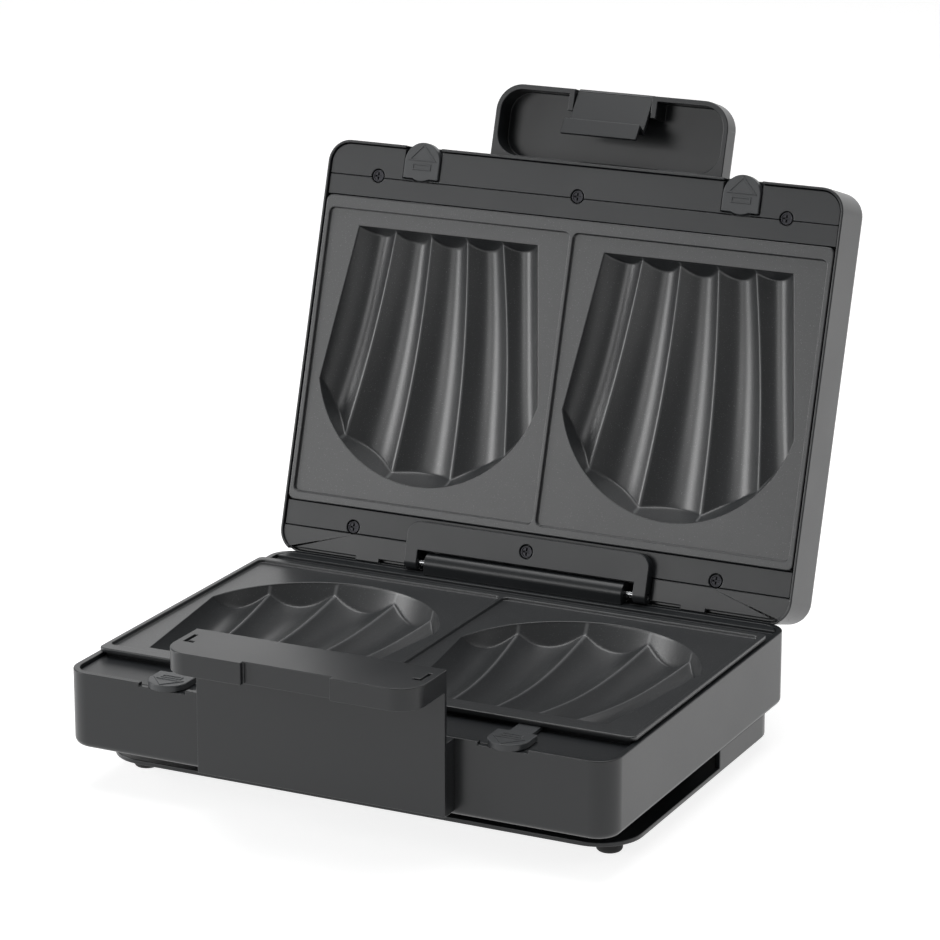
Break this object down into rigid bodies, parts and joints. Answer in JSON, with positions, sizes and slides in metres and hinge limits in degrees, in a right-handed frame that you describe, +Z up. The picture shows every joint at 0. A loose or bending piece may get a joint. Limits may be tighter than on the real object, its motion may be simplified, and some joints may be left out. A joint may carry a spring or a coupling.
{
  "type": "sandwich toaster",
  "caption": "Countertop sandwich toaster with a hinged lid, shell-shaped fluted pockets, removable plates, latch and cord wrap.",
  "frame": {"origin": "middle of the standing toaster with its lid open, on the table top", "axes": "+Z up, +Y from the handles towards the hinge, +X to the right when looking from the handles"},
  "size_m": [0.2506, 0.323, 0.2591],
  "materials": {
    "housing": "fine matte grain",
    "deck": "satin",
    "reflector_sheet": "rolled",
    "element_sheath": "dull",
    "foot_rubber": "matte",
    "pin_steel": "plain",
    "terminal_plastic": "plain",
    "brass_parts": "plain",
    "screw_steel": "blackened",
    "plate_coating": "non-stick coating, fine speckle",
    "red_lens": "clear tint",
    "green_lens": "clear tint"
  },
  "bodies": {
    "base": {"base_housing": "housing", "base_deck": "deck", "lower_reflector": "reflector_sheet", "lower_heating_element": "element_sheath", "undertray": "housing", "feet": "foot_rubber", "base_handle": "housing", "hinge_block": "housing", "hinge_pin": "pin_steel", "terminal_block": "terminal_plastic", "thermostat": "brass_parts", "thermal_fuse": "pin_steel", "cord_gland": "foot_rubber", "undertray_screws": "screw_steel", "deck_screws": "screw_steel", "lower_catch_springs": "pin_steel"},
    "lid": {"lid_shell": "housing", "lid_front_trim": "deck", "lid_frame": "deck", "hinge_cover": "deck", "upper_reflector": "reflector_sheet", "upper_heating_element": "element_sheath", "lid_handle": "housing", "lid_screws": "screw_steel", "red_lamp_lens": "red_lens", "green_lamp_lens": "green_lens", "upper_catch_springs": "pin_steel"},
    "latch_hanger": {"latch_pin": "pin_steel"},
    "latch": {"latch_clip": "deck"},
    "lower_left_release": {"lower_left_catch": "deck"},
    "lower_right_release": {"lower_right_catch": "deck"},
    "upper_left_release": {"upper_left_catch": "deck"},
    "upper_right_release": {"upper_right_catch": "deck"},
    "lower_cooking_plate": {"lower_plate": "plate_coating"},
    "upper_cooking_plate": {"upper_plate": "plate_coating"}
  },
  "joints": [
    {"name": "lid_hinge", "type": "hinge", "parent": "base", "child": "lid", "pos_m": [0, 0.05992, 0.056], "axis": [-1, 0, 0], "range_deg": [-107, 0]},
    {"name": "latch_hang", "type": "hinge", "parent": "lid", "child": "latch_hanger", "pos_m": [0, 0.15398, 0.25625], "axis": [1, 0, 0], "range_deg": [-83, 0]},
    {"name": "latch_swing", "type": "hinge", "parent": "latch_hanger", "child": "latch", "pos_m": [0, 0.15398, 0.25625], "axis": [-1, 0, 0], "range_deg": [-15, 70]},
    {"name": "lower_plate_lift", "type": "slide", "parent": "base", "child": "lower_cooking_plate", "axis": [0, 0, 1], "range_m": [0, 0.06]},
    {"name": "upper_plate_pull", "type": "slide", "parent": "lid", "child": "upper_cooking_plate", "axis": [0, -0.9563, 0.2924], "range_m": [0, 0.025]},
    {"name": "lower_left_catch_pull", "type": "slide", "parent": "base", "child": "lower_left_release", "axis": [0, -1, 0], "range_m": [0, 0.004], "stiffness_N_per_m": 300, "springref_m": -0.002},
    {"name": "lower_right_catch_pull", "type": "slide", "parent": "base", "child": "lower_right_release", "axis": [0, -1, 0], "range_m": [0, 0.004], "stiffness_N_per_m": 300, "springref_m": -0.002},
    {"name": "upper_left_catch_pull", "type": "slide", "parent": "lid", "child": "upper_left_release", "axis": [0, 0.2924, 0.9563], "range_m": [0, 0.004], "stiffness_N_per_m": 300, "springref_m": -0.002},
    {"name": "upper_right_catch_pull", "type": "slide", "parent": "lid", "child": "upper_right_release", "axis": [0, 0.2924, 0.9563], "range_m": [0, 0.004], "stiffness_N_per_m": 300, "springref_m": -0.002}
  ],
  "couplings": [
    {"joint": "latch_hang", "follows": "lid_hinge", "ratio": 0.7757}
  ]
}
